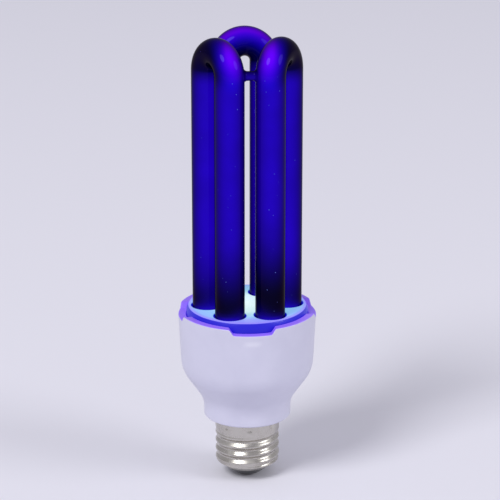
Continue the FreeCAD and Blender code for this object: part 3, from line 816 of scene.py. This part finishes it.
piece_of("threaded_cap", [shell], plated_sheet, "plated_cap_sheet", ["cap_shell"], sharp=50.0)


# Cap insulator: black glass, melted into the lower end of the shell and pressed to a smooth cone, with a
# slightly sunken edge where it meets the sheet.
nose_radius = 5.6
nose_level = level_of("cap_insulator", 0)
nose_edge = 0.5
cone_radius = 9.2
cone_level = -22.6
cone_blend = 1.5
sunken_radius = 9.9
sunken_level = -21.9
seat_radius = 11.6
seat_level = -20.0
button_top = level_of("cap_insulator", 1)
button_columns = 96
insulator = spaced(rounded_line([
    (0.0, nose_level, 0), (nose_radius, nose_level, nose_edge), (cone_radius, cone_level, cone_blend),
    (sunken_radius, sunken_level, 0), (seat_radius, seat_level, 0), (seat_radius, button_top, 0),
    (0.0, button_top, 0),
]), longest=0.6)
button = turned_sheet(insulator, np.linspace(0, 2 * math.pi, button_columns + 1))

# Black glass: glossy and nearly even, with the slow swirls and the soft unevenness of a poured melt.
black_glass = grained_finish("black_cap_glass", {"Roughness": 0.12, "IOR": 1.52}, dark="#08080A",
                             light="#1A1A1E", grain=3.0, detail=2.0, strength=0.3, depth=0.3)
piece_of("black_glass_button", [button], black_glass, "black_cap_glass", ["cap_insulator"])


# Centre contact: a small sheet cup on the end of the glass, with a hollow rivet that the wire comes
# through and a drop of tin solder over it, which spread and set with a slightly uneven skin.
contact_radius = 4.9
contact_end = level_of("centre_contact", 0)
contact_edge = -25.9
contact_edge_blend = 0.4
contact_seat = nose_level + 0.1
drop_radius = 3.4
drop_blend = 2.0
rivet_radius = 1.5
rivet_top = level_of("centre_contact", 1)
contact_columns = 72
contact = spaced(rounded_line([
    (0.0, contact_end, 0), (drop_radius, contact_end, drop_blend),
    (contact_radius, contact_edge, contact_edge_blend), (contact_radius, contact_seat, 0),
    (rivet_radius, contact_seat, 0), (rivet_radius, rivet_top, 0), (0.0, rivet_top, 0),
]), longest=0.4)
contact_cup = turned_sheet(contact, np.linspace(0, 2 * math.pi, contact_columns + 1))

# Tin solder: a dull silver grey, slightly mottled and wrinkled where it set.
solder = grained_finish("contact_solder", {"Metallic": 1.0, "Roughness": 0.34}, dark="#8E8B86",
                        light="#BDBAB4", grain=1.5, detail=4.0, strength=0.4, depth=0.2)
piece_of("solder_contact", [contact_cup], solder, "contact_solder", ["centre_contact"])


# Ballast: the board with its parts, the wires to the cap and the leads of the tube, all closed in by the
# cup. Each keeps its own solid and gets the two tones, the grain and the shine of its stuff.
# A row gives a finish's name, nodes, dark and light tone, grain, metallic and roughness.
ballast_finishes = [
    ("pvc_wire_cover", ["contact_wire", "shell_wire"], "#202023", "#303034", 1.0, 0.0, 0.5),
    ("paper_laminate", ["ballast_board"], "#A9793F", "#C49A5C", 0.6, 0.0, 0.7),
    ("tinned_wire", ["lead_posts", "tube_leads"], "#9C9A94", "#C6C4BE", 0.5, 1.0, 0.35),
    ("sintered_ferrite", ["choke_core", "ring_core", "filter_choke_core"],
     "#2E2E31", "#45454A", 0.3, 0.0, 0.6),
    ("black_nylon", ["choke_bobbin"], "#17171A", "#242428", 0.8, 0.0, 0.45),
    ("enamelled_copper", ["choke_winding", "ring_windings", "filter_choke_winding"],
     "#8E3F16", "#C4682C", 0.3, 1.0, 0.3),
    ("shrunk_sleeve", ["electrolytic_capacitor"], "#191B30", "#272A44", 2.0, 0.0, 0.3),
    ("moulded_epoxy", ["transistors", "rectifier_diodes"], "#161617", "#29292B", 0.2, 0.0, 0.55),
    ("dipped_resin", ["film_capacitors"], "#7A1C0E", "#96301C", 1.5, 0.0, 0.25),
    ("flameproof_coat", ["fuse_resistor"], "#6E8A7C", "#8AA396", 0.3, 0.0, 0.6),
    ("resistor_lacquer", ["resistors"], "#C2A678", "#D8C096", 0.4, 0.0, 0.4),
]
for name, nodes, dark, light, grain, metallic, roughness in ballast_finishes:
    finish = grained_finish(name, {"Metallic": metallic, "Roughness": roughness}, dark, light, grain,
                            detail=4.0, strength=0.2, depth=0.05)
    for node in nodes:
        dress(node, finish)


# Floor, lights and camera: a pale matt floor under two large soft lamps and an even sky. The camera stands
# where the photograph was taken from, a little above the bulb and nearly a metre away, with a slightly
# wider lens and a slight tilt down that take in the cap too.
floor_half = 6.0
floor_level = cad_box[0].z
floor_corners = [
    (-floor_half, -floor_half, floor_level), (floor_half, -floor_half, floor_level),
    (floor_half, floor_half, floor_level), (-floor_half, floor_half, floor_level),
]
floor_mesh = bpy.data.meshes.new("floor")
floor_mesh.from_pydata(floor_corners, [], [(0, 1, 2, 3)])
floor_paint, tree, shader = new_material("floor_paint", {
    "Base Color": srgb("#E5E4ED"),
    "Roughness": 1.0,
    "Specular IOR Level": 0.0,
})
floor_mesh.materials.append(floor_paint)
floor = bpy.data.objects.new("floor", floor_mesh)
bpy.context.scene.collection.objects.link(floor)

lamp_aim = Vector((0.0, 0.0, 0.06))


def soft_lamp(name, place, size, power):
    """Round area lamp at a place, which faces the aim of the lamps."""
    data = bpy.data.lights.new(name, "AREA")
    data.shape = "DISK"
    data.size = size
    data.energy = power
    lamp = bpy.data.objects.new(name, data)
    lamp.location = place
    lamp.rotation_euler = (lamp_aim - Vector(place)).to_track_quat("-Z", "Y").to_euler()
    bpy.context.scene.collection.objects.link(lamp)


soft_lamp("key", place=(-2.0, -2.0, 2.9), size=1.56, power=86.0)
soft_lamp("fill", place=(2.7, -1.35, 1.75), size=1.56, power=33.0)
world = bpy.data.worlds.new("studio")
world.use_nodes = True
world.node_tree.nodes["Background"].inputs["Color"].default_value = srgb("#ECEBF5")
world.node_tree.nodes["Background"].inputs["Strength"].default_value = 0.55
bpy.context.scene.world = world

# The lens and the camera's place and turns, in metres and radians, are fitted to the photograph's outlines.
photo_pixels = 500
photo_focal_pixels = 2495.3
lens_widening = 0.95
sensor_width = 36.0
camera_turn = math.radians(-4.8)
camera_place = (0.00223, -0.9092, 0.3681)
camera_pan = 0.0012
camera_tilt = 0.3061
cap_tilt = 0.0104
camera_data = bpy.data.cameras.new("camera")
camera_data.sensor_width = sensor_width
camera_data.lens = photo_focal_pixels * sensor_width / photo_pixels * lens_widening
camera_data.clip_start = 0.01
camera = bpy.data.objects.new("camera", camera_data)
camera.matrix_world = (
    Matrix.Rotation(camera_turn, 4, "Z")
    @ Matrix.Translation(camera_place)
    @ Matrix.Rotation(camera_pan, 4, "Z")
    @ Matrix.Rotation(math.pi / 2 - camera_tilt - cap_tilt, 4, "X")
)
bpy.context.scene.collection.objects.link(camera)
bpy.context.scene.camera = camera
bpy.context.scene.view_settings.view_transform = "Standard"
